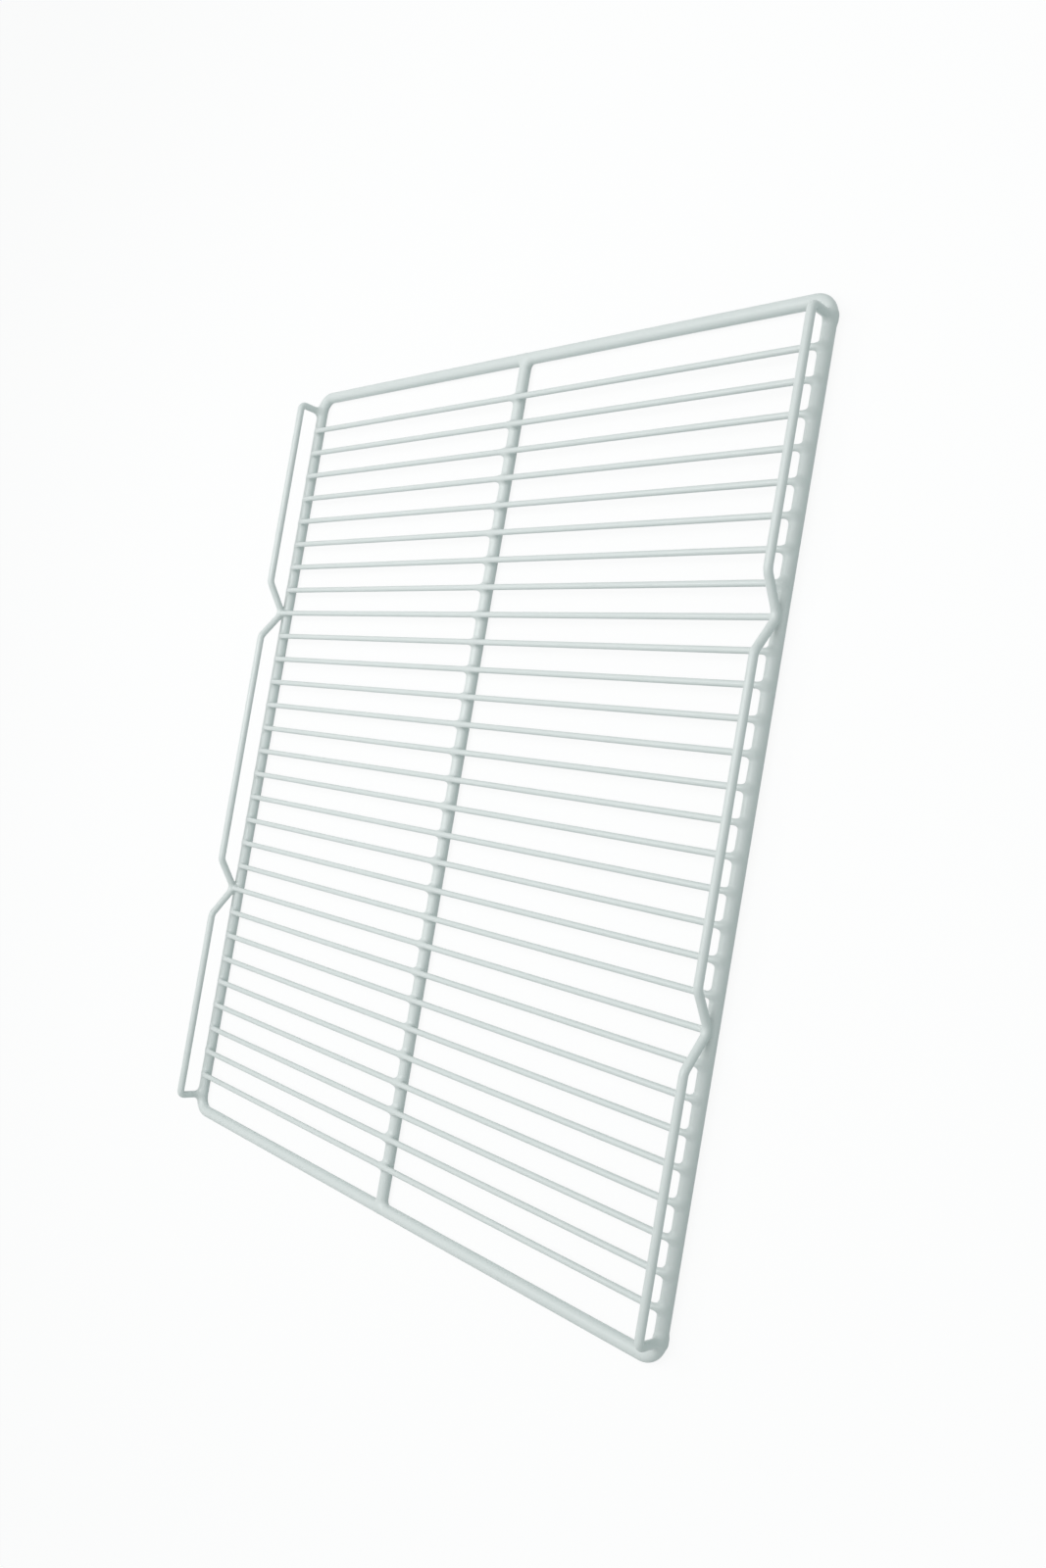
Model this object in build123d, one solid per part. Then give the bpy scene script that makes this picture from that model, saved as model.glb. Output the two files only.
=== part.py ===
from build123d import *
import math
import os

# Coated wire shelf for a catering refrigerator, built as its welded pieces.
#
# A round rod bent to a closed rectangle carries one lengthwise centre rod and a
# row of thin cross wires. A thinner rail stands along each long side. It is bent
# down to the frame at both ends and dips to it twice in V notches, so the rail
# stiffens the shelf and keeps what stands on it from sliding off.
#
# Millimetres. X runs across the shelf, Y along it, Z up. The origin lies midway
# under the shelf, on the surface that the frame rests on. All diameters are
# taken over the coating.

# Driving dimensions of the frame
shelf_width = 530.0            # outside, along X
shelf_length = 650.0           # outside, along Y
frame_rod_diameter = 9.0
corner_bend_radius = 12.0      # at the rod's axis
centre_rod_diameter = 9.0
centre_rod_offset = -2.3       # the centre rod stands a little left of the middle
centre_rod_butt = 1.2          # how far the weld sets the rod's ends into the frame

# Driving dimensions of the cross wires
wire_count = 29                # odd, so that one wire lies on the middle
wire_diameter = 4.3
wire_end_gap = 31.2            # from an end rod's axis to the first wire's axis
wire_end_inset = 0.9           # how far the wires stop short of the side rods' axes
wire_row_offset = 0.7          # the row of wires lies a little right of the middle
weld_set = 1.0                 # how far a welded wire sinks into the rod under it

# Driving dimensions of the side rails
rail_diameter = 5.8
rail_rise = 22.2               # from the frame rods' axis up to the rail's axis
rail_offset = 1.0              # how far the rail stands outboard of the side rod's axis
rail_leg_inset = 12.3          # from an end rod's axis to a leg's axis
rail_leg_bend = 4.2            # bend radius at the rail's axis, where it turns down
notch_wire = 6                 # the notches stand at this wire, counted from the middle one
notch_slope = 35.0             # degrees between a notch's arms and the rail
notch_top_bend = 9.0           # bend radii at the rail's axis
notch_bottom_bend = 6.0
notch_weld_set = 0.3           # how far a notch sinks into the side rod under it
notch_wire_butt = 0.8          # how far a wire's end sets into the notch that it meets

# Places worked out from the driving dimensions
frame_rod_radius = frame_rod_diameter / 2
centre_rod_radius = centre_rod_diameter / 2
wire_radius = wire_diameter / 2
rail_radius = rail_diameter / 2
side_x = shelf_width / 2 - frame_rod_radius
end_y = shelf_length / 2 - frame_rod_radius
rod_axis_z = frame_rod_radius
rod_top_z = frame_rod_diameter
centre_rod_axis_z = rod_top_z - centre_rod_radius
wire_axis_z = rod_top_z + wire_radius - weld_set
wire_pitch = 2 * (end_y - wire_end_gap) / (wire_count - 1)
middle_wire = wire_count // 2
rail_axis_z = rod_axis_z + rail_rise
notch_axis_z = rod_top_z + rail_radius - notch_weld_set
leg_y = end_y - rail_leg_inset
notch_y = notch_wire * wire_pitch
bend_steps = 4                 # a bend's surface is drawn through its ends and the sections between


def bent_rod(path, radius, bend_axis):
    """A round rod along a path of straight runs and bends that all turn about one direction."""
    pieces = []
    for edge in path.edges():
        steps = 0 if edge.geom_type == GeomType.LINE else bend_steps
        stations = [step / bend_steps for step in range(steps + 1)]
        sections = [Plane(origin=edge @ s, x_dir=bend_axis, z_dir=edge % s) * Circle(radius) for s in stations]
        pieces.append(loft(sections) if steps else extrude(sections[0], amount=edge.length))
    return pieces[0] + pieces[1:]


def perimeter_frame():
    """The closed frame: one round rod bent to a rectangle with four equal corners."""
    outline = Plane.XY.offset(rod_axis_z) * RectangleRounded(2 * side_x, 2 * end_y, corner_bend_radius)
    return bent_rod(outline.face().outer_wire(), frame_rod_radius, (0, 0, 1))


def centre_rod(frame):
    """The lengthwise rod, with each square end set into an end rod's side."""
    half_length = end_y - frame_rod_radius + centre_rod_butt
    start = Plane(origin=(centre_rod_offset, -half_length, centre_rod_axis_z), z_dir=(0, 1, 0))
    return extrude(start * Circle(centre_rod_radius), amount=2 * half_length) - frame


def rail_path(x):
    """The axis of a rail: leg, run, notch, run, notch, run, leg, with every corner bent round."""
    slope = math.radians(notch_slope)
    corner_z = notch_axis_z - notch_bottom_bend * (1 / math.cos(slope) - 1)
    half_opening = (rail_axis_z - corner_z) / math.tan(slope)
    points = [(x, -leg_y, rod_axis_z), (x, -leg_y, rail_axis_z)]
    radii = [rail_leg_bend]
    for y in (-notch_y, notch_y):
        points += [(x, y - half_opening, rail_axis_z), (x, y, corner_z), (x, y + half_opening, rail_axis_z)]
        radii += [notch_top_bend, notch_bottom_bend, notch_top_bend]
    points += [(x, leg_y, rail_axis_z), (x, leg_y, rod_axis_z)]
    radii += [rail_leg_bend]
    return FilletPolyline(*points, radius=radii)


def side_rail(side, frame):
    """A rail on the left (-1) or right (+1) rod, its legs and notches seated on the rod's round top."""
    path = rail_path(side * (side_x + rail_offset))
    return bent_rod(path, rail_radius, (1, 0, 0)) - frame


def cross_wire(number, frame, rod, rails):
    """One wire, counted from -Y, saddled on the rods that it crosses."""
    steps = number - middle_wire
    meets_notch = abs(steps) == notch_wire
    if meets_notch:
        middle_x = 0
        reach = side_x + rail_offset - rail_radius + notch_wire_butt
    else:
        middle_x = wire_row_offset
        reach = side_x - wire_end_inset
    start = Plane(origin=(middle_x - reach, steps * wire_pitch, wire_axis_z), z_dir=(1, 0, 0))
    wire = extrude(start * Circle(wire_radius), amount=2 * reach)
    seats = [frame, rod] + rails if meets_notch else [frame, rod]
    return wire - seats


def build():
    """Every piece of the shelf by its name."""
    frame = perimeter_frame()
    rod = centre_rod(frame)
    rails = [side_rail(side, frame) for side in (-1, 1)]
    pieces = {
        "perimeter_frame": frame,
        "centre_rod": rod,
        "left_side_rail": rails[0],
        "right_side_rail": rails[1],
    }
    for number in range(wire_count):
        pieces[f"cross_wire_{number + 1:02d}"] = cross_wire(number, frame, rod, rails)
    return pieces


os.makedirs("parts", exist_ok=True)
for name, piece in build().items():
    export_step(piece, f"parts/{name}.step")
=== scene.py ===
import logging
import math
from abc import ABC, abstractmethod
from dataclasses import dataclass
from enum import Enum

import bmesh
import bpy
import numpy as np
from mathutils import Matrix, Vector


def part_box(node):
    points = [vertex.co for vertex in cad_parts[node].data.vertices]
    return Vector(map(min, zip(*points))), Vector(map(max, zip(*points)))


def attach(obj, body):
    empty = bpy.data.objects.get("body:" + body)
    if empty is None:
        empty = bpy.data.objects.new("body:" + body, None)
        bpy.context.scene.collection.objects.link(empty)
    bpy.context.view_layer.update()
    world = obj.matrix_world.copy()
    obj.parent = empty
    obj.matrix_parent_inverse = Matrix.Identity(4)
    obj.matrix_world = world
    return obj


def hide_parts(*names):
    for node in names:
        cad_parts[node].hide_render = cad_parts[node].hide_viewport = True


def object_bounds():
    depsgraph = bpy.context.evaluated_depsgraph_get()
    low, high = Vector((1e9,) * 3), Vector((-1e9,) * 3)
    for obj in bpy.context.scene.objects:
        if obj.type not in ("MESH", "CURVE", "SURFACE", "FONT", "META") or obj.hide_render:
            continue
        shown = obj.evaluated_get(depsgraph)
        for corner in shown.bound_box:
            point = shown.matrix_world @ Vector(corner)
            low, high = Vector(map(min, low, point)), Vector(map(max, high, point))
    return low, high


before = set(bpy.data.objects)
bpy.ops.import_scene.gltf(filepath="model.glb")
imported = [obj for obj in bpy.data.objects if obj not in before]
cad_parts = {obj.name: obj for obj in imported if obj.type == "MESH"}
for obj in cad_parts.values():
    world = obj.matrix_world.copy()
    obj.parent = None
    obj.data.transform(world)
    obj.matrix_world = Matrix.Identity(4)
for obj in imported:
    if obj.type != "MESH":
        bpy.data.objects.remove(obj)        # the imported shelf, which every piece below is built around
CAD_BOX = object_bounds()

# A coated wire shelf for a catering refrigerator. Each rod, rail and wire is a round bar swept along
# its own line, and the coating that has run together at every weld is a smooth blend of the two bars.
# Metres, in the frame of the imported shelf: X across it, Y along it, Z up.

LOG = logging.getLogger("wire_shelf")
MM = 0.001
BODY = "root"

# Bends of the shelf, which the nodes' boxes don't give
CORNER_BEND = 12.0 * MM
RAIL_LEG_BEND = 4.2 * MM
NOTCH_SLOPE = math.radians(35.0)
NOTCH_TOP_BEND = 9.0 * MM
NOTCH_BOTTOM_BEND = 8.5 * MM
NOTCH_WELD_SET = 0.3 * MM
NOTCH_NODES = ("cross_wire_09", "cross_wire_21")

# How fine the meshes are
BEND_STEP = math.radians(6.0)
ROD_SIDES = 64
WIRE_SIDES = 28
FILLET_STEP = 0.9 * MM
SETTLE_ROUNDS = 3
DOME_ANGLES = tuple(math.radians(angle) for angle in (15, 30, 45, 60, 75, 87))
SHARP_EDGE = math.radians(50.0)

# How far the coating creeps from one bar to the other at a weld
WIRE_CREEPS = (3.9 * MM, 4.4 * MM, 4.9 * MM)
LEG_CREEP = 4.5 * MM
NOTCH_CREEP = 2.6 * MM
BUTT_CREEP = 3.5 * MM

# How much of a rod, to each side of a weld, the coating there takes into account
NEAR_ROD = 30.0 * MM

# The coated ends of the cross wires: over this length they taper and dip to the side rod
TIP_LENGTH = 8.0 * MM
TIP_DIP = 1.9 * MM
TIP_REACH = 1.2 * MM
TIP_THICKNESS = (1.0, 0.97, 0.9, 0.79, 0.64)

IMAGE_SIZE = (1067, 1600)
SENSOR_WIDTH = 36.0


class Side(Enum):
    """A long side of the shelf, by its sign along X."""

    LEFT = -1
    RIGHT = 1


class End(Enum):
    """A short end of the shelf, by its sign along Y."""

    FRONT = -1
    BACK = 1


class Edge(Enum):
    """How a swept bar ends."""

    OPEN = "open"
    ROUND = "round"
    CLOSED_LOOP = "closed loop"


def bent_line(corners: list[Vector], radii: list[float]) -> list[Vector]:
    """Follow straight runs that tangent arcs join.

    Args:
        corners: the points where the runs would meet, with both ends of the line.
        radii: the bend radius at each inner corner.

    Returns:
        The line's points, close together in the bends only.
    """
    points = [corners[0]]
    for before, corner, after, radius in zip(corners, corners[1:], corners[2:], radii):
        back = (before - corner).normalized()
        ahead = (after - corner).normalized()
        half = back.angle(ahead) / 2
        centre = corner + (back + ahead).normalized() * (radius / math.sin(half))
        start = corner + back * (radius / math.tan(half)) - centre
        finish = corner + ahead * (radius / math.tan(half)) - centre
        turn = math.pi - 2 * half
        count = max(2, math.ceil(turn / BEND_STEP))
        axis = start.cross(finish).normalized()
        for step in range(count + 1):
            points.append(centre + Matrix.Rotation(turn * step / count, 3, axis) @ start)
    points.append(corners[-1])
    return points


def smooth_union(first: np.ndarray, second: np.ndarray, reach: float) -> np.ndarray:
    """Join two distance fields with a fillet between them.

    Args:
        first: distances to one shape.
        second: distances to the other.
        reach: how far the fillet runs out on each shape.

    Returns:
        The joined distances.
    """
    overlap = np.maximum(reach - np.abs(first - second), 0) / reach
    return np.minimum(first, second) - overlap**2 * reach / 4


@dataclass(frozen=True)
class Bar:
    """A round rod or wire, as the line along its middle and its radius."""

    line: tuple[Vector, ...]
    radius: float
    swells: tuple[float, ...] = ()

    def thickness(self) -> tuple[float, ...]:
        """Give the thickness at each point of the line, as a share of the radius."""
        return self.swells or (1.0,) * len(self.line)

    def distance(self, points: np.ndarray) -> np.ndarray:
        """Measure how far points lie outside the bar, whose ends are round.

        Args:
            points: places, with their coordinates on the last axis.

        Returns:
            Distances, negative inside.
        """
        nearest = np.full(points.shape[:-1], np.inf)
        radii = [self.radius * swell for swell in self.thickness()]
        for start, stop, thick, thin in zip(self.line, self.line[1:], radii, radii[1:]):
            first = np.array(start)
            along = np.array(stop) - first
            share = np.clip((points - first) @ along / (along @ along), 0, 1)
            gap = np.linalg.norm(points - first - share[..., None] * along, axis=-1)
            nearest = np.minimum(nearest, gap - thick - share * (thin - thick))
        return nearest

    def near(self, place: Vector, reach: float) -> "Bar":
        """Keep the stretch of the bar whose runs pass within reach of a place.

        Args:
            place: the place.
            reach: how near a run has to pass.

        Returns:
            The shorter bar, at its full thickness.
        """
        keep = []
        for start, stop in zip(self.line, self.line[1:]):
            along = stop - start
            share = min(max((place - start).dot(along) / along.length_squared, 0), 1)
            if (start + along * share - place).length < reach:
                keep += [start, stop] if not keep or keep[-1] != start else [stop]
        return Bar(tuple(keep), self.radius)


class GeometryTree:
    """A geometry node tree that is built in code, with named inputs."""

    def __init__(self, name: str) -> None:
        """Start an empty tree with a geometry input and output.

        Args:
            name: the tree's name.
        """
        self.tree = bpy.data.node_groups.new(name, "GeometryNodeTree")
        self.tree.interface.new_socket("Geometry", in_out="INPUT", socket_type="NodeSocketGeometry")
        self.tree.interface.new_socket("Geometry", in_out="OUTPUT", socket_type="NodeSocketGeometry")
        self.group_input = self.tree.nodes.new("NodeGroupInput")
        self.group_output = self.tree.nodes.new("NodeGroupOutput")

    def size(self, name: str, kind: str) -> bpy.types.NodeSocket:
        """Add a named input to the tree.

        Args:
            name: the input's name.
            kind: the socket's type, such as Float.

        Returns:
            The socket that gives the input's value inside the tree.
        """
        self.tree.interface.new_socket(name, in_out="INPUT", socket_type=f"NodeSocket{kind}")
        return self.group_input.outputs[name]

    def node(self, kind: str, inputs: dict[str, object], **settings: object) -> bpy.types.Node:
        """Add a node.

        Args:
            kind: the node's type.
            inputs: a value or a socket for each input, by the input's identifier.
            settings: values of the node's own properties.

        Returns:
            The new node.
        """
        made = self.tree.nodes.new(kind)
        for name, value in settings.items():
            setattr(made, name, value)
        sockets = {socket.identifier: socket for socket in made.inputs}
        for name, value in inputs.items():
            if isinstance(value, bpy.types.NodeSocket):
                self.tree.links.new(value, sockets[name])
            else:
                sockets[name].default_value = value
        return made

    def finish(self, geometry: bpy.types.NodeSocket, material: bpy.types.NodeSocket) -> None:
        """End the tree in real, smooth geometry with its material.

        Args:
            geometry: what the tree has made.
            material: the input that holds the material.
        """
        real = self.node("GeometryNodeRealizeInstances", {"Geometry": geometry})
        smooth = self.node("GeometryNodeSetShadeSmooth", {"Geometry": real.outputs[0]})
        dressed = self.node(
            "GeometryNodeSetMaterial", {"Geometry": smooth.outputs[0], "Material": material}
        )
        self.tree.links.new(dressed.outputs[0], self.group_output.inputs[0])

    def run(self, mesh: bpy.types.Mesh, values: dict[str, object]) -> bpy.types.Mesh:
        """Run the tree on a mesh.

        Args:
            mesh: the mesh that goes in.
            values: a value for each named input.

        Returns:
            The plain mesh that comes out.
        """
        holder = bpy.data.objects.new("tree_holder", mesh)
        bpy.context.scene.collection.objects.link(holder)
        modifier = holder.modifiers.new("tree", "NODES")
        modifier.node_group = self.tree
        for item in self.tree.interface.items_tree:
            if item.in_out == "INPUT" and item.name in values:
                modifier[item.identifier] = values[item.name]
        depsgraph = bpy.context.evaluated_depsgraph_get()
        made = bpy.data.meshes.new_from_object(holder.evaluated_get(depsgraph), depsgraph=depsgraph)
        bpy.data.objects.remove(holder)
        return made


class SweepTree(GeometryTree):
    """Sweeps a circle along the edges of a mesh, swollen or thinned by its swell attribute."""

    def __init__(self) -> None:
        """Build the tree."""
        super().__init__("sweep_bar")
        radius = self.size("Radius", "Float")
        sides = self.size("Sides", "Int")
        caps = self.size("Caps", "Bool")
        material = self.size("Material", "Material")
        line = self.node("GeometryNodeMeshToCurve", {"Mesh": self.group_input.outputs[0]})
        circle = self.node(
            "GeometryNodeCurvePrimitiveCircle", {"Resolution": sides, "Radius": radius}
        )
        swell = self.node("GeometryNodeInputNamedAttribute", {"Name": "swell"}, data_type="FLOAT")
        bar = self.node(
            "GeometryNodeCurveToMesh",
            {
                "Curve": line.outputs[0],
                "Profile Curve": circle.outputs[0],
                "Scale": swell.outputs[0],
                "Fill Caps": caps,
            },
        )
        self.finish(bar.outputs[0], material)

    def sweep(self, bar: Bar, sides: int, edge: Edge, finish: "CoatFinish") -> bpy.types.Mesh:
        """Sweep a bar.

        Args:
            bar: the line, the radius and the thickness along the line.
            sides: how many sides the round bar has.
            edge: how the bar ends.
            finish: the coating.

        Returns:
            The bar's mesh.
        """
        points = list(bar.line)
        swells = list(bar.thickness())
        if edge is Edge.ROUND:
            points, swells = self.rounded(points, swells, bar.radius)
        mesh = bpy.data.meshes.new("bar_line")
        edges = [(i, i + 1) for i in range(len(points) - 1)]
        if edge is Edge.CLOSED_LOOP:
            edges.append((len(points) - 1, 0))
        mesh.from_pydata(points, edges, [])
        mesh.attributes.new("swell", "FLOAT", "POINT").data.foreach_set("value", swells)
        values = {
            "Radius": bar.radius,
            "Sides": sides,
            "Caps": edge is not Edge.CLOSED_LOOP,
            "Material": finish.material(),
        }
        return self.run(mesh, values)

    @staticmethod
    def rounded(
        points: list[Vector], swells: list[float], radius: float
    ) -> tuple[list[Vector], list[float]]:
        """Add a dome to both ends of a line.

        Args:
            points: the line's points.
            swells: its thickness at each point.
            radius: the bar's radius, which is the domes' too.

        Returns:
            The longer line and its thickness.
        """
        head = (points[0] - points[1]).normalized() * radius * swells[0]
        tail = (points[-1] - points[-2]).normalized() * radius * swells[-1]
        first = [points[0] + head * math.sin(angle) for angle in reversed(DOME_ANGLES)]
        last = [points[-1] + tail * math.sin(angle) for angle in DOME_ANGLES]
        dome = [math.cos(angle) for angle in DOME_ANGLES]
        thin = [swells[0] * share for share in reversed(dome)]
        return first + points + last, thin + swells + [swells[-1] * share for share in dome]


class RowTree(GeometryTree):
    """Sets wires in a row along Y, each picked at random from three."""

    WIRES = ("Wire A", "Wire B", "Wire C")

    def __init__(self) -> None:
        """Build the tree."""
        super().__init__("row_of_wires")
        count = self.size("Count", "Int")
        first = self.size("First", "Float")
        pitch = self.size("Pitch", "Float")
        skipped = self.size("Skipped Step", "Int")
        seed = self.size("Seed", "Int")
        material = self.size("Material", "Material")
        start = self.node("ShaderNodeCombineXYZ", {"Y": first})
        offset = self.node("ShaderNodeCombineXYZ", {"Y": pitch})
        row = self.node(
            "GeometryNodeMeshLine",
            {"Count": count, "Start Location": start.outputs[0], "Offset": offset.outputs[0]},
        )
        kept = self.node(
            "GeometryNodeDeleteGeometry",
            {"Geometry": row.outputs[0], "Selection": self.skips(count, skipped)},
            domain="POINT",
        )
        choices = self.tree.nodes.new("GeometryNodeJoinGeometry")
        for name in reversed(self.WIRES):
            wire = self.node(
                "GeometryNodeObjectInfo", {"Object": self.size(name, "Object"), "As Instance": True}
            )
            self.tree.links.new(wire.outputs["Geometry"], choices.inputs[0])
        pick = self.node(
            "FunctionNodeRandomValue",
            {"Min_002": 0, "Max_002": len(self.WIRES) - 1, "Seed": seed},
            data_type="INT",
        )
        wires = self.node(
            "GeometryNodeInstanceOnPoints",
            {
                "Points": kept.outputs[0],
                "Instance": choices.outputs[0],
                "Pick Instance": True,
                "Instance Index": pick.outputs[2],
            },
        )
        self.finish(wires.outputs[0], material)

    def skips(
        self, count: bpy.types.NodeSocket, skipped: bpy.types.NodeSocket
    ) -> bpy.types.NodeSocket:
        """Select the points that lie a number of steps from the row's middle.

        Args:
            count: how many points the row has.
            skipped: the number of steps.

        Returns:
            The selection.
        """
        index = self.node("GeometryNodeInputIndex", {})
        last = self.node("ShaderNodeMath", {"Value": count, "Value_001": 1.0}, operation="SUBTRACT")
        middle = self.node(
            "ShaderNodeMath", {"Value": last.outputs[0], "Value_001": 2.0}, operation="DIVIDE"
        )
        steps = self.node(
            "ShaderNodeMath",
            {"Value": index.outputs[0], "Value_001": middle.outputs[0]},
            operation="SUBTRACT",
        )
        away = self.node("ShaderNodeMath", {"Value": steps.outputs[0]}, operation="ABSOLUTE")
        same = self.node(
            "ShaderNodeMath",
            {"Value": away.outputs[0], "Value_001": skipped, "Value_002": 0.25},
            operation="COMPARE",
        )
        return same.outputs[0]


@dataclass(frozen=True)
class CoatFillet:
    """Coating that has run together where bars are welded to the bar that carries them."""

    bars: tuple[Bar, ...]
    carrier: Bar
    centre: Vector
    half_size: tuple[float, float, float]
    creep: float
    sink: float = 0.03 * MM
    rim: float = 0.8 * MM
    depth: float = 2.1 * MM
    fade_start: float = 0.7
    fade_length: float = 0.25
    corner_share: float = 0.7

    def field(self, points: np.ndarray) -> np.ndarray:
        """Measure the distance to the coating's skin, which dives under the bars where it ends.

        Args:
            points: places, with their coordinates on the last axis.

        Returns:
            Distances, negative inside.
        """
        away = np.abs(points - np.array(self.centre)) / np.array(self.half_size)
        edge = np.clip((away.max(axis=-1) - self.fade_start) / self.fade_length, 0, 1)
        bare = self.bars[0].distance(points)
        for bar in self.bars[1:]:
            bare = smooth_union(bare, bar.distance(points), self.creep * self.corner_share)
        carrier = self.carrier.distance(points)
        skin = smooth_union(bare + self.sink * edge, carrier + self.sink, self.creep)
        skin = np.maximum(skin, -(carrier + self.depth))
        skin = np.maximum(skin, bare - self.creep - self.rim)
        walls = (np.abs(points - np.array(self.centre)) - np.array(self.half_size)).max(axis=-1)
        low, high = (np.array(corner) for corner in CAD_BOX)
        return np.maximum(skin, np.maximum(walls, np.maximum(low - points, points - high).max(axis=-1)))

    def mesh(self) -> bpy.types.Mesh:
        """Make the coating's skin.

        Returns:
            A closed mesh, whose faces look outwards.
        """
        half = np.array(self.half_size)
        low = np.array(self.centre) - half - 1.5 * FILLET_STEP
        count = np.ceil(2 * half / FILLET_STEP).astype(int) + 4
        axes = [low[axis] + FILLET_STEP * np.arange(count[axis]) for axis in range(3)]
        values = self.field(np.stack(np.meshgrid(*axes, indexing="ij"), axis=-1))
        points, quads = surface_net(values, low, FILLET_STEP)
        for _ in range(SETTLE_ROUNDS):
            points = self.settled(points)
        made = bpy.data.meshes.new("coat_fillet")
        made.from_pydata(points.tolist(), [], quads.tolist())
        return made

    def settled(self, points: np.ndarray) -> np.ndarray:
        """Move points towards the coating's skin by one step.

        Args:
            points: places near the skin.

        Returns:
            The moved places.
        """
        nudge = 0.05 * MM
        longest = 0.4 * FILLET_STEP
        here = self.field(points)
        slope = np.stack(
            [(self.field(points + nudge * axis) - here) / nudge for axis in np.eye(3)], axis=-1
        )
        steep = np.maximum((slope**2).sum(axis=-1), 0.1)
        move = -(here / steep)[:, None] * slope
        length = np.maximum(np.linalg.norm(move, axis=-1, keepdims=True), 1e-12)
        return points + move * np.minimum(1, longest / length)


def surface_net(values: np.ndarray, low: np.ndarray, step: float) -> tuple[np.ndarray, np.ndarray]:
    """Mesh the zero surface of a field on a grid, with one point in each cell that it crosses.

    Args:
        values: the field on the grid, negative inside.
        low: the grid's lowest corner.
        step: the grid's spacing.

    Returns:
        The points, and the quads between them, which face outwards.
    """
    inside = values < 0
    cells = np.array(values.shape) - 1
    total = np.zeros((*cells, 3))
    crossings = np.zeros(cells)
    for axis in range(3):
        for first in (0, 1):
            for second in (0, 1):
                start = np.insert(np.array([first, second]), axis, 0)
                stop = np.insert(np.array([first, second]), axis, 1)
                near = tuple(slice(a, a + n) for a, n in zip(start, cells))
                far = tuple(slice(a, a + n) for a, n in zip(stop, cells))
                crossed = inside[near] != inside[far]
                gap = np.where(crossed, values[near] - values[far], 1)
                place = np.broadcast_to(start.astype(float), (*cells, 3)).copy()
                place[..., axis] = values[near] / gap
                total += np.where(crossed[..., None], place, 0)
                crossings += crossed
    used = crossings > 0
    index = np.full(cells, -1)
    index[used] = np.arange(used.sum())
    points = low + step * (np.argwhere(used) + total[used] / crossings[used][:, None])
    quads = []
    for axis in range(3):
        across, along = np.eye(3, dtype=int)[(axis + 1) % 3], np.eye(3, dtype=int)[(axis + 2) % 3]
        near = [slice(1, -1)] * 3
        far = [slice(1, -1)] * 3
        near[axis], far[axis] = slice(0, -1), slice(1, None)
        shift = np.array([0 if a == axis else 1 for a in range(3)])
        for outward in (True, False):
            wall = inside[tuple(near)] & ~inside[tuple(far)]
            if not outward:
                wall = ~inside[tuple(near)] & inside[tuple(far)]
            node = np.argwhere(wall) + shift
            ring = [node - across - along, node - along, node, node - across]
            quad = np.stack([index[tuple(corner.T)] for corner in ring], axis=-1)
            quads.append(quad if outward else quad[:, ::-1])
    return points, np.concatenate(quads)


def joined(name: str, meshes: list[bpy.types.Mesh]) -> bpy.types.Mesh:
    """Join meshes into one smooth mesh.

    Args:
        name: the new mesh's name.
        meshes: the meshes, which are removed.

    Returns:
        The new mesh.
    """
    sculpt = bmesh.new()
    for mesh in meshes:
        sculpt.from_mesh(mesh)
        bpy.data.meshes.remove(mesh)
    for face in sculpt.faces:
        face.smooth = True
        face.material_index = 0
    made = bpy.data.meshes.new(name)
    sculpt.to_mesh(made)
    sculpt.free()
    return made


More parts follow.
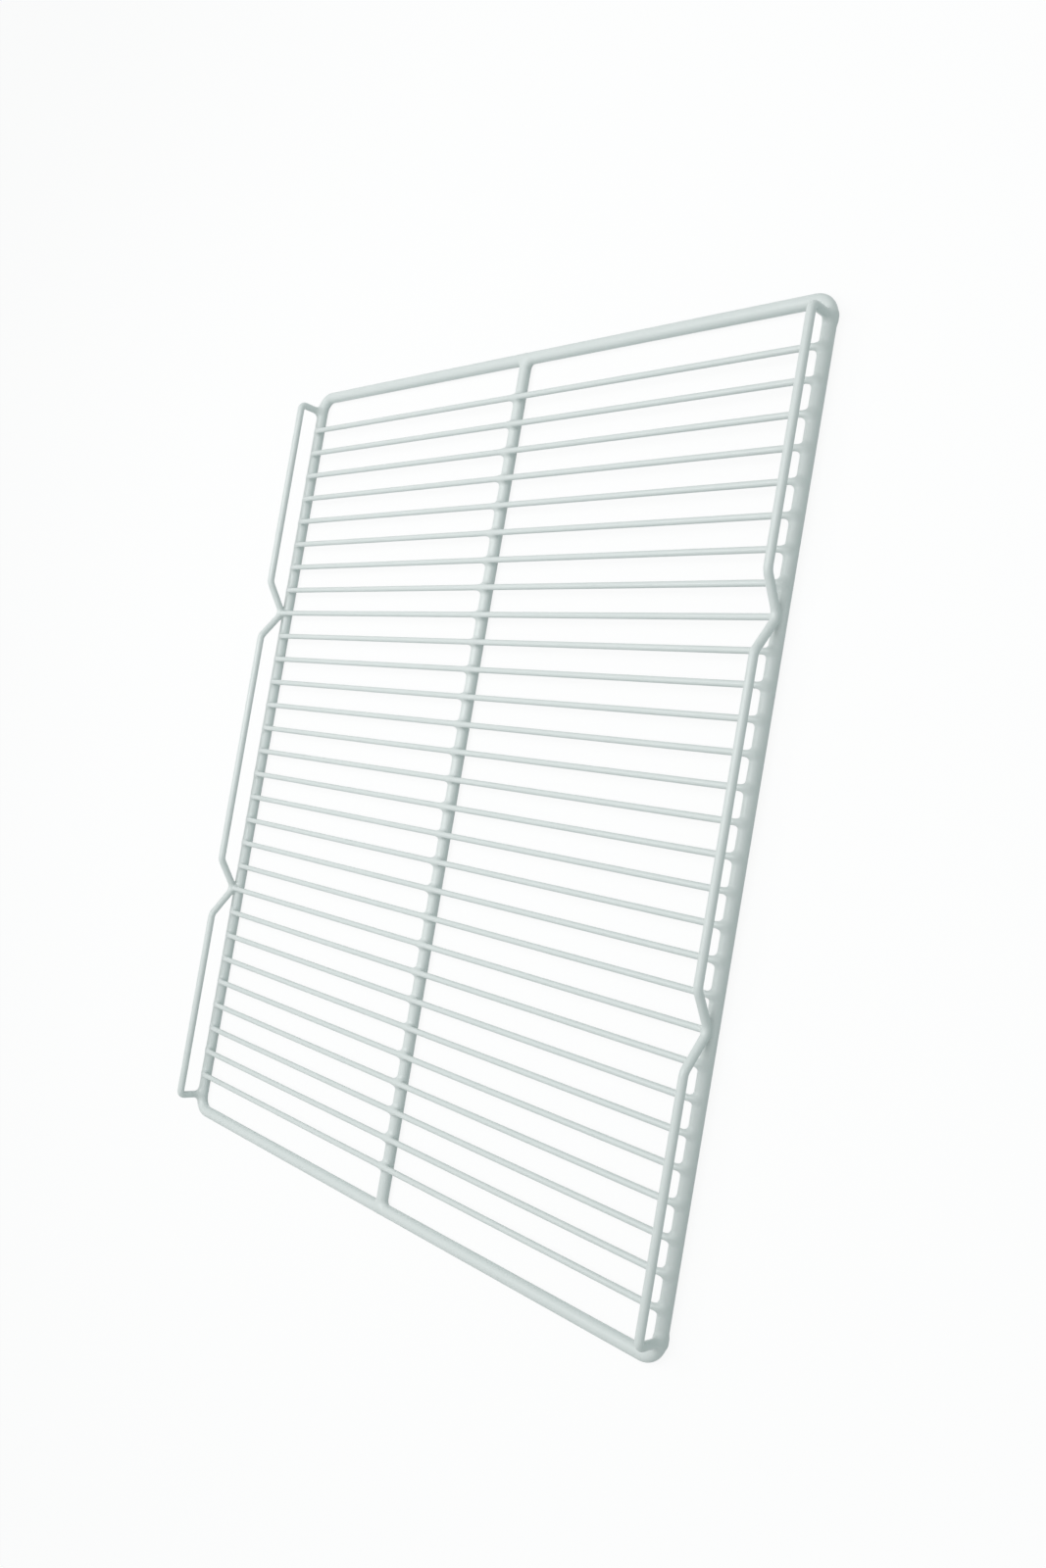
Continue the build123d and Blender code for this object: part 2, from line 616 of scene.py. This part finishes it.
@dataclass(frozen=True)
class CoatFinish:
    """Glossy pale plastic coating, a little uneven as it ran and set."""

    name: str = "pale_coating"
    colour: tuple[float, float, float] = (0.775, 0.79, 0.784)
    tint: tuple[float, float, float] = (0.74, 0.766, 0.757)
    roughness: tuple[float, float] = (0.30, 0.42)
    patch_scale: float = 38.0
    patch_detail: float = 3.0
    patch_range: tuple[float, float] = (0.35, 0.65)
    peel_scale: float = 900.0
    peel_detail: float = 2.0
    peel_height: float = 0.04 * MM
    peel_strength: float = 0.6
    shine: float = 0.5

    def material(self) -> bpy.types.Material:
        """Give the finish's material, made when it is first asked for."""
        return bpy.data.materials.get(self.name) or self.make()

    def make(self) -> bpy.types.Material:
        """Make the material from noise in the object's own coordinates.

        Returns:
            The new material.
        """
        made = bpy.data.materials.new(self.name)
        made.use_nodes = True
        nodes, links = made.node_tree.nodes, made.node_tree.links
        shader = nodes["Principled BSDF"]
        shader.inputs["Specular IOR Level"].default_value = self.shine
        place = nodes.new("ShaderNodeTexCoord").outputs["Object"]
        patches = nodes.new("ShaderNodeTexNoise")
        patches.inputs["Scale"].default_value = self.patch_scale
        patches.inputs["Detail"].default_value = self.patch_detail
        peel = nodes.new("ShaderNodeTexNoise")
        peel.inputs["Scale"].default_value = self.peel_scale
        peel.inputs["Detail"].default_value = self.peel_detail
        mix = nodes.new("ShaderNodeMix")
        mix.data_type = "RGBA"
        mix.inputs["A"].default_value = (*self.colour, 1)
        mix.inputs["B"].default_value = (*self.tint, 1)
        spread = nodes.new("ShaderNodeMapRange")
        spread.inputs["From Min"].default_value = self.patch_range[0]
        spread.inputs["From Max"].default_value = self.patch_range[1]
        spread.inputs["To Min"].default_value = self.roughness[0]
        spread.inputs["To Max"].default_value = self.roughness[1]
        bump = nodes.new("ShaderNodeBump")
        bump.inputs["Distance"].default_value = self.peel_height
        bump.inputs["Strength"].default_value = self.peel_strength
        links.new(place, patches.inputs["Vector"])
        links.new(place, peel.inputs["Vector"])
        links.new(patches.outputs["Fac"], mix.inputs["Factor"])
        links.new(patches.outputs["Fac"], spread.inputs["Value"])
        links.new(peel.outputs["Fac"], bump.inputs["Height"])
        links.new(mix.outputs["Result"], shader.inputs["Base Color"])
        links.new(spread.outputs["Result"], shader.inputs["Roughness"])
        links.new(bump.outputs["Normal"], shader.inputs["Normal"])
        return made


@dataclass(frozen=True)
class ShelfLayout:
    """Places and sizes of the shelf's bars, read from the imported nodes."""

    rod_radius: float
    side_x: float
    end_y: float
    centre_x: float
    centre_radius: float
    centre_z: float
    wire_radius: float
    wire_z: float
    wire_start: float
    wire_stop: float
    wire_names: tuple[str, ...]
    wire_y: tuple[float, ...]

    @classmethod
    def from_frame(cls) -> "ShelfLayout":
        """Read the layout from the nodes' boxes.

        Returns:
            The layout, in metres.
        """
        low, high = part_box("perimeter_frame")
        rod_radius = (high.z - low.z) / 2
        centre_low, centre_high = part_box("centre_rod")
        names = sorted(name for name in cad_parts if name.startswith("cross_wire_"))
        boxes = [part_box(name) for name in names]
        wire_low, wire_high = boxes[0]
        wire_radius = (wire_high.y - wire_low.y) / 2
        centre_radius = (centre_high.x - centre_low.x) / 2
        return cls(
            rod_radius=rod_radius,
            side_x=high.x - rod_radius,
            end_y=high.y - rod_radius,
            centre_x=(centre_low.x + centre_high.x) / 2,
            centre_radius=centre_radius,
            centre_z=centre_high.z - centre_radius,
            wire_radius=wire_radius,
            wire_z=wire_high.z - wire_radius,
            wire_start=wire_low.x,
            wire_stop=wire_high.x,
            wire_names=tuple(names),
            wire_y=tuple((box[0].y + box[1].y) / 2 for box in boxes),
        )

    def notches(self) -> list[float]:
        """Give the places where the rails dip to the frame, along Y."""
        return [self.wire_y[self.wire_names.index(name)] for name in NOTCH_NODES]

    def frame_bar(self) -> Bar:
        """Lay out the closed frame rod.

        Returns:
            The rod, from the middle of the front end round to the same place.
        """
        x, y, z = self.side_x, self.end_y, self.rod_radius
        middle = Vector((0, -y, z))
        corners = [Vector((x, -y, z)), Vector((x, y, z)), Vector((-x, y, z)), Vector((-x, -y, z))]
        return Bar(tuple(bent_line([middle, *corners, middle], [CORNER_BEND] * 4)), self.rod_radius)

    def centre_bar(self) -> Bar:
        """Give the centre rod, which ends inside the end rods."""
        x, y, z = self.centre_x, self.end_y - self.rod_radius / 2, self.centre_z
        return Bar((Vector((x, -y, z)), Vector((x, y, z))), self.centre_radius)


class Piece(ABC):
    """A sub-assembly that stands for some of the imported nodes."""

    name: str
    nodes: tuple[str, ...]
    finish: CoatFinish

    @abstractmethod
    def build(self, sweeper: SweepTree) -> bpy.types.Mesh:
        """Build the piece.

        Args:
            sweeper: the tree that sweeps its bars.

        Returns:
            The bare mesh, in the shelf's frame.
        """

    def dress(self, mesh: bpy.types.Mesh) -> bpy.types.Mesh:
        """Give a mesh the piece's finish.

        Args:
            mesh: the bare mesh.

        Returns:
            The same mesh in its coating, smooth but for its sharp edges.
        """
        mesh.materials.clear()
        mesh.materials.append(self.finish.material())
        mesh.set_sharp_from_angle(angle=SHARP_EDGE)
        return mesh

    def settle(self, mesh: bpy.types.Mesh) -> bpy.types.Object:
        """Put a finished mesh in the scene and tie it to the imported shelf.

        Args:
            mesh: the mesh, in the shelf's frame.

        Returns:
            The piece's object.
        """
        piece = bpy.data.objects.new(self.name, mesh)
        bpy.context.scene.collection.objects.link(piece)
        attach(piece, BODY)
        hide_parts(*self.nodes)
        return piece


@dataclass
class PerimeterFrame(Piece):
    """The round rod that is bent to a closed rectangle."""

    layout: ShelfLayout
    finish: CoatFinish
    name: str = "perimeter_frame_coated"
    nodes: tuple[str, ...] = ("perimeter_frame",)

    def build(self, sweeper: SweepTree) -> bpy.types.Mesh:
        """Sweep the rod round the shelf.

        Args:
            sweeper: the tree that sweeps its bars.

        Returns:
            The bare mesh, in the shelf's frame.
        """
        bar = self.layout.frame_bar()
        loop = Bar(bar.line[:-1], bar.radius)
        return joined(self.name, [sweeper.sweep(loop, ROD_SIDES, Edge.CLOSED_LOOP, self.finish)])


@dataclass
class CentreRod(Piece):
    """The lengthwise rod, with coating run into the corner where each end is welded."""

    layout: ShelfLayout
    finish: CoatFinish
    weld_half: tuple[float, float, float] = (9.9 * MM, 9.9 * MM, 5.4 * MM)
    name: str = "centre_rod_coated"
    nodes: tuple[str, ...] = ("centre_rod",)

    def build(self, sweeper: SweepTree) -> bpy.types.Mesh:
        """Sweep the rod and add the coating at both welds.

        Args:
            sweeper: the tree that sweeps its bars.

        Returns:
            The bare mesh, in the shelf's frame.
        """
        rod = self.layout.centre_bar()
        meshes = [sweeper.sweep(rod, ROD_SIDES, Edge.OPEN, self.finish)]
        carrier = self.layout.frame_bar()
        for end in End:
            place = Vector((rod.line[0].x, end.value * self.layout.end_y, self.layout.rod_radius))
            near = carrier.near(place, NEAR_ROD)
            meshes.append(CoatFillet((rod,), near, place, self.weld_half, BUTT_CREEP).mesh())
        return joined(self.name, meshes)


@dataclass
class SideRail(Piece):
    """A rail along a long side, with its legs and notches welded to the frame."""

    layout: ShelfLayout
    finish: CoatFinish
    side: Side
    leg_weld_half: tuple[float, float, float] = (8.0 * MM, 9.0 * MM, 7.0 * MM)
    notch_weld_half: tuple[float, float, float] = (9.0 * MM, 13.0 * MM, 7.0 * MM)
    leg_reach: float = 12.0 * MM
    notch_reach: float = 16.0 * MM

    def __post_init__(self) -> None:
        """Name the rail and its node for its side."""
        node = f"{self.side.name.lower()}_side_rail"
        self.name = f"{node}_coated"
        self.nodes = (node,)

    def bar(self) -> Bar:
        """Lay out the rail.

        Returns:
            The rail: leg, run, notch, run, notch, run, leg.
        """
        low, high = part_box(self.nodes[0])
        radius = (high.x - low.x) / 2
        x, top, leg = (low.x + high.x) / 2, high.z - radius, high.y - radius
        foot = self.layout.rod_radius
        bottom = 2 * foot + radius - NOTCH_WELD_SET
        corner = bottom - NOTCH_BOTTOM_BEND * (1 / math.cos(NOTCH_SLOPE) - 1)
        opening = (top - corner) / math.tan(NOTCH_SLOPE)
        corners = [Vector((x, -leg, foot)), Vector((x, -leg, top))]
        radii = [RAIL_LEG_BEND]
        for y in self.layout.notches():
            corners += [
                Vector((x, y - opening, top)), Vector((x, y, corner)), Vector((x, y + opening, top))
            ]
            radii += [NOTCH_TOP_BEND, NOTCH_BOTTOM_BEND, NOTCH_TOP_BEND]
        corners += [Vector((x, leg, top)), Vector((x, leg, foot))]
        return Bar(tuple(bent_line(corners, [*radii, RAIL_LEG_BEND])), radius)

    def welds(self, rail: Bar) -> list[CoatFillet]:
        """Lay out the coating at the legs' feet and under the notches.

        Args:
            rail: the rail.

        Returns:
            One fillet for each weld.
        """
        layout = self.layout
        frame_rod = layout.frame_bar()
        top = 2 * layout.rod_radius
        x = self.side.value * layout.side_x
        leg = rail.line[0].y
        found = []
        for y in (leg, -leg):
            place = Vector((x, y, top))
            bars = (rail.near(place, self.leg_reach),)
            carrier = frame_rod.near(place, NEAR_ROD)
            found.append(CoatFillet(bars, carrier, place, self.leg_weld_half, LEG_CREEP))
        for y in layout.notches():
            place = Vector((x, y, top + rail.radius))
            inner = Vector((x - self.side.value * NEAR_ROD, y, layout.wire_z))
            wire = Bar((inner, Vector((x, y, layout.wire_z))), layout.wire_radius)
            bars = (rail.near(place, self.notch_reach), wire)
            carrier = frame_rod.near(place, NEAR_ROD)
            found.append(CoatFillet(bars, carrier, place, self.notch_weld_half, NOTCH_CREEP))
        return found

    def build(self, sweeper: SweepTree) -> bpy.types.Mesh:
        """Sweep the rail and add the coating at its welds.

        Args:
            sweeper: the tree that sweeps its bars.

        Returns:
            The bare mesh, in the shelf's frame.
        """
        rail = self.bar()
        meshes = [sweeper.sweep(rail, WIRE_SIDES, Edge.OPEN, self.finish)]
        meshes += [weld.mesh() for weld in self.welds(rail)]
        return joined(self.name, meshes)


@dataclass
class CrossWires(Piece):
    """The row of thin wires, with coating run on to the rods that they cross."""

    layout: ShelfLayout
    finish: CoatFinish
    row: RowTree
    seed: int = 7
    weld_half: tuple[float, float, float] = (13.0 * MM, 9.0 * MM, 6.5 * MM)
    creeps: tuple[float, float, float] = WIRE_CREEPS
    edge: Edge = Edge.ROUND
    name: str = "cross_wires_coated"

    def __post_init__(self) -> None:
        """Take the wires that end on the side rods."""
        self.nodes = tuple(name for name in self.layout.wire_names if name not in NOTCH_NODES)

    def wire(self) -> Bar:
        """Lay out one wire on the row's own axis.

        Returns:
            The wire, whose ends taper and dip to the side rods.
        """
        layout = self.layout
        tip = TIP_THICKNESS[-1] * layout.wire_radius
        start, stop = layout.wire_start - TIP_REACH + tip, layout.wire_stop + TIP_REACH - tip
        shares = [step / (len(TIP_THICKNESS) - 1) for step in range(len(TIP_THICKNESS))]
        away = [TIP_LENGTH * (1 - share) for share in shares]
        heights = [layout.wire_z - TIP_DIP * share**2 for share in shares]
        left = [Vector((start + x, 0, z)) for x, z in zip(reversed(away), reversed(heights))]
        right = [Vector((stop - x, 0, z)) for x, z in zip(away, heights)]
        return Bar((*left, *right), layout.wire_radius, (*reversed(TIP_THICKNESS), *TIP_THICKNESS))

    def crossed(self) -> list[Bar]:
        """Find the rods that a wire is welded to.

        Returns:
            The rods near the row's axis, from left to right.
        """
        layout = self.layout
        rods = [(-layout.side_x, layout.rod_radius, layout.rod_radius)]
        rods.append((layout.centre_x, layout.centre_z, layout.centre_radius))
        rods.append((layout.side_x, layout.rod_radius, layout.rod_radius))
        return [
            Bar((Vector((x, -NEAR_ROD, z)), Vector((x, NEAR_ROD, z))), radius) for x, z, radius in rods
        ]

    def spacing(self) -> dict[str, object]:
        """Space the row.

        Returns:
            How many wires, from where, how far apart, and which are left out.
        """
        places = self.layout.wire_y
        count = len(places)
        return {
            "Count": count,
            "First": places[0],
            "Pitch": (places[-1] - places[0]) / (count - 1),
            "Skipped Step": self.layout.wire_names.index(NOTCH_NODES[1]) - count // 2,
        }

    def master(self, label: str, creep: float, sweeper: SweepTree) -> bpy.types.Object:
        """Make one wire with its welds.

        Args:
            label: the wire's name.
            creep: how far the coating creeps at its welds.
            sweeper: the tree that sweeps it.

        Returns:
            The wire's object, to be set in the row.
        """
        wire = self.wire()
        meshes = [sweeper.sweep(wire, WIRE_SIDES, self.edge, self.finish)]
        for rod in self.crossed():
            place = Vector((rod.line[0].x, 0, self.layout.wire_z - self.layout.wire_radius / 2))
            meshes.append(CoatFillet((wire,), rod, place, self.weld_half, creep).mesh())
        made = bpy.data.objects.new(label, self.dress(joined(label, meshes)))
        bpy.context.scene.collection.objects.link(made)
        return made

    def build(self, sweeper: SweepTree) -> bpy.types.Mesh:
        """Make the wires and set them in their row.

        Args:
            sweeper: the tree that sweeps its bars.

        Returns:
            The bare mesh, in the shelf's frame.
        """
        masters = [
            self.master(f"wire_{index}", creep, sweeper) for index, creep in enumerate(self.creeps)
        ]
        values = {
            **self.spacing(),
            "Seed": self.seed,
            "Material": self.finish.material(),
            **dict(zip(RowTree.WIRES, masters)),
        }
        mesh = self.row.run(bpy.data.meshes.new("row_axis"), values)
        for master in masters:
            bpy.data.objects.remove(master)
        return joined(self.name, [mesh])


@dataclass
class NotchWires(CrossWires):
    """The two wires that end in the rails' notches, as a row of two."""

    creeps: tuple[float, float, float] = (WIRE_CREEPS[1],) * 3
    edge: Edge = Edge.OPEN
    name: str = "notch_wires_coated"

    def __post_init__(self) -> None:
        """Take the wires that meet a notch."""
        self.nodes = NOTCH_NODES

    def wire(self) -> Bar:
        """Lay out one straight wire on the row's own axis.

        Returns:
            The wire, from notch to notch.
        """
        low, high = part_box(NOTCH_NODES[0])
        z = self.layout.wire_z
        return Bar((Vector((low.x, 0, z)), Vector((high.x, 0, z))), self.layout.wire_radius)

    def crossed(self) -> list[Bar]:
        """Give the centre rod alone, as the rails carry the coating at the wires' ends."""
        return super().crossed()[1:2]

    def spacing(self) -> dict[str, object]:
        """Space the row of two, with nothing left out."""
        first, second = self.layout.notches()
        return {"Count": 2, "First": first, "Pitch": second - first, "Skipped Step": -1}


@dataclass(frozen=True)
class Lamp:
    """A square soft light that faces the shelf."""

    name: str
    place: tuple[float, float, float]
    size: float
    power: float

    def hang(self) -> None:
        """Put the light in the scene."""
        light = bpy.data.lights.new(self.name, "AREA")
        light.energy = self.power
        light.size = self.size
        lamp = bpy.data.objects.new(self.name, light)
        lamp.location = self.place
        lamp.rotation_euler = (-Vector(self.place)).to_track_quat("-Z", "Y").to_euler()
        bpy.context.scene.collection.objects.link(lamp)


@dataclass(frozen=True)
class Studio:
    """A pale floor, soft light from above and the camera."""

    floor_half: float = 6.0
    floor_white: float = 0.99
    floor_bounce: tuple[float, float, float] = (0.53, 0.61, 0.60)
    shadow_share: float = 0.1
    sky: tuple[float, float, float] = (0.88, 1.0, 0.985)
    sky_strength: float = 0.46
    key: Lamp = Lamp("key", (0.4, 0.7, 2.4), 1.5, 15.0)
    low_light: Lamp = Lamp("low_light", (-0.2, 0.1, 1.0), 0.7, 3.7)
    camera_place: tuple[float, float, float] = (0.68782, -0.01703, 0.62106)
    camera_right: tuple[float, float, float] = (0.69897, 0.16829, -0.69507)
    camera_up: tuple[float, float, float] = (-0.10174, 0.98543, 0.13628)
    focal_pixels: float = 1266.93
    clip: tuple[float, float] = (0.01, 50.0)

    def build(self) -> None:
        """Set up the floor, the light and the camera."""
        self.floor()
        self.light()
        self.camera()
        bpy.context.scene.view_settings.view_transform = "Standard"

    def floor(self) -> None:
        """Lay a floor that is white to the camera and keeps a soft shadow."""
        half, z = self.floor_half, CAD_BOX[0].z
        mesh = bpy.data.meshes.new("floor")
        corners = [(-half, -half, z), (half, -half, z), (half, half, z), (-half, half, z)]
        mesh.from_pydata(corners, [], [(0, 1, 2, 3)])
        floor = bpy.data.objects.new("floor", mesh)
        bpy.context.scene.collection.objects.link(floor)
        mesh.materials.append(self.floor_material())

    def floor_material(self) -> bpy.types.Material:
        """Make the floor white to the rays that show it, and a plain grey to other light.

        Returns:
            The new material.
        """
        made = bpy.data.materials.new("studio_floor")
        made.use_nodes = True
        nodes, links = made.node_tree.nodes, made.node_tree.links
        nodes.clear()
        seen = self.seen(made.node_tree)
        grey = nodes.new("ShaderNodeBsdfDiffuse")
        grey.inputs["Color"].default_value = (*self.floor_bounce, 1)
        white = nodes.new("ShaderNodeBsdfDiffuse")
        white.inputs["Color"].default_value = (self.floor_white,) * 3 + (1,)
        glow = nodes.new("ShaderNodeEmission")
        glow.inputs["Strength"].default_value = 1.0
        shown = nodes.new("ShaderNodeMixShader")
        shown.inputs["Fac"].default_value = self.shadow_share
        links.new(glow.outputs[0], shown.inputs[1])
        links.new(white.outputs[0], shown.inputs[2])
        mix = nodes.new("ShaderNodeMixShader")
        links.new(seen, mix.inputs["Fac"])
        links.new(grey.outputs[0], mix.inputs[1])
        links.new(shown.outputs[0], mix.inputs[2])
        output = nodes.new("ShaderNodeOutputMaterial")
        links.new(mix.outputs[0], output.inputs["Surface"])
        return made

    @staticmethod
    def seen(tree: bpy.types.NodeTree) -> bpy.types.NodeSocket:
        """Tell the rays that show a thing, straight or in gloss or glass, from those that only light it.

        Args:
            tree: the shader tree that asks.

        Returns:
            A socket that is 1 for the rays that show it.
        """
        path = tree.nodes.new("ShaderNodeLightPath")
        shown = path.outputs["Is Camera Ray"]
        for name in ("Is Glossy Ray", "Is Transmission Ray"):
            either = tree.nodes.new("ShaderNodeMath")
            either.operation = "MAXIMUM"
            tree.links.new(shown, either.inputs[0])
            tree.links.new(path.outputs[name], either.inputs[1])
            shown = either.outputs[0]
        return shown

    def light(self) -> None:
        """Hang a high light beyond the far end and a low one over the left half, under an even sky."""
        world = bpy.data.worlds.new("studio_sky")
        bpy.context.scene.world = world
        world.use_nodes = True
        nodes, links = world.node_tree.nodes, world.node_tree.links
        nodes.clear()
        sky = nodes.new("ShaderNodeBackground")
        sky.inputs["Color"].default_value = (*self.sky, 1)
        sky.inputs["Strength"].default_value = self.sky_strength
        white = nodes.new("ShaderNodeBackground")
        mix = nodes.new("ShaderNodeMixShader")
        white.inputs["Color"].default_value = (1, 1, 1, 1)
        links.new(self.seen(world.node_tree), mix.inputs["Fac"])
        links.new(sky.outputs[0], mix.inputs[1])
        links.new(white.outputs[0], mix.inputs[2])
        output = nodes.new("ShaderNodeOutputWorld")
        links.new(mix.outputs[0], output.inputs["Surface"])
        self.key.hang()
        self.low_light.hang()

    def camera(self) -> None:
        """Stand the camera where the shelf fills the frame as in the photograph."""
        lens = bpy.data.cameras.new("camera")
        lens.sensor_width = SENSOR_WIDTH
        lens.lens = self.focal_pixels / max(IMAGE_SIZE) * SENSOR_WIDTH
        lens.clip_start, lens.clip_end = self.clip
        camera = bpy.data.objects.new("camera", lens)
        right, up = Vector(self.camera_right), Vector(self.camera_up)
        turn = Matrix((right, up, right.cross(up))).transposed()
        camera.matrix_world = Matrix.Translation(self.camera_place) @ turn.to_4x4()
        bpy.context.scene.collection.objects.link(camera)
        bpy.context.scene.camera = camera


def main() -> None:
    """Build the shelf piece by piece, then its studio."""
    logging.basicConfig(level=logging.INFO, format="%(name)s %(message)s")
    layout = ShelfLayout.from_frame()
    finish = CoatFinish()
    sweeper = SweepTree()
    row = RowTree()
    pieces = [
        PerimeterFrame(layout, finish),
        CentreRod(layout, finish),
        *(SideRail(layout, finish, side) for side in Side),
        CrossWires(layout, finish, row),
        NotchWires(layout, finish, row),
    ]
    for piece in pieces:
        mesh = piece.settle(piece.dress(piece.build(sweeper))).data
        mesh.calc_loop_triangles()
        LOG.info("%s: %d triangles for %d nodes", piece.name, len(mesh.loop_triangles), len(piece.nodes))
    Studio().build()


if __name__ == "__main__":
    main()
